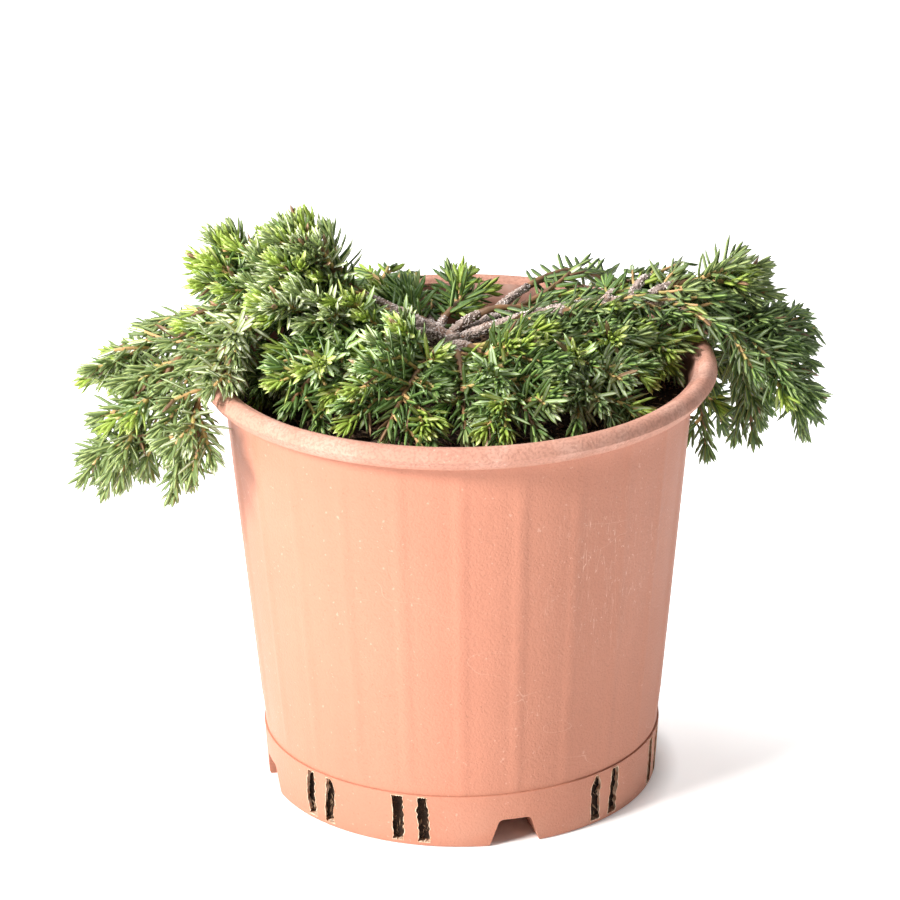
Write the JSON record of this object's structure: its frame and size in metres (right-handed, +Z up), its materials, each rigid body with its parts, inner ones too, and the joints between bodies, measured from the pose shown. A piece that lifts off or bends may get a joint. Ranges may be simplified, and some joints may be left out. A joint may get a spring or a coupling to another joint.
{
  "type": "potted shore juniper",
  "caption": "Low weeping shore juniper with bare inner stems and sprays of needle foliage, in a round terracotta-coloured nursery pot.",
  "frame": {"origin": "middle of the pot's flat underside, on the surface that it stands on", "axes": "+Z up along the pot's axis, -Y towards the viewer, +X to the viewer's right and along the widest spread of the crown"},
  "size_m": [0.3349, 0.2307, 0.2496],
  "materials": {
    "terracotta_plastic": "terracotta-coloured injection-moulded plastic, matt, dusty and lightly scuffed",
    "compost": "dark, moist, fibrous potting compost",
    "bark": "pinkish grey-brown juniper bark, rough and flaking in thin strips",
    "needles": "waxy grey-green needles with a pale stripe, brighter yellow-green at the tips"
  },
  "bodies": {
    "root": {"pot": "terracotta_plastic", "soil": "compost", "trunk": "bark", "back_left_bough": "bark", "back_middle_bough": "bark", "back_outer_bough": "bark", "back_right_bough": "bark", "centre_reach_bough": "bark", "centre_right_bough": "bark", "centre_top_bough": "bark", "front_bough": "bark", "front_low_bough": "bark", "front_right_bough": "bark", "hub_down_bough": "bark", "hub_left_bough": "bark", "inner_left_bough": "bark", "inner_right_bough": "bark", "inner_top_bough": "bark", "left_bough": "bark", "left_crest_bough": "bark", "left_low_bough": "bark", "left_shoulder_bough": "bark", "left_top_bough": "bark", "left_under_bough": "bark", "right_bough": "bark", "right_crest_bough": "bark", "right_inner_bough": "bark", "right_low_bough": "bark", "right_mid_bough": "bark", "right_shoulder_bough": "bark", "right_under_bough": "bark", "back_left_foliage": "needles", "back_middle_foliage": "needles", "back_outer_foliage": "needles", "back_right_foliage": "needles", "centre_reach_foliage": "needles", "centre_right_foliage": "needles", "centre_top_foliage": "needles", "front_foliage": "needles", "front_low_foliage": "needles", "front_right_foliage": "needles", "hub_down_foliage": "needles", "hub_left_foliage": "needles", "inner_left_foliage": "needles", "inner_right_foliage": "needles", "inner_top_foliage": "needles", "left_crest_foliage": "needles", "left_foliage": "needles", "left_low_foliage": "needles", "left_shoulder_foliage": "needles", "left_top_foliage": "needles", "left_under_foliage": "needles", "right_crest_foliage": "needles", "right_foliage": "needles", "right_inner_foliage": "needles", "right_low_foliage": "needles", "right_mid_foliage": "needles", "right_shoulder_foliage": "needles", "right_under_foliage": "needles"}
  },
  "joints": []
}
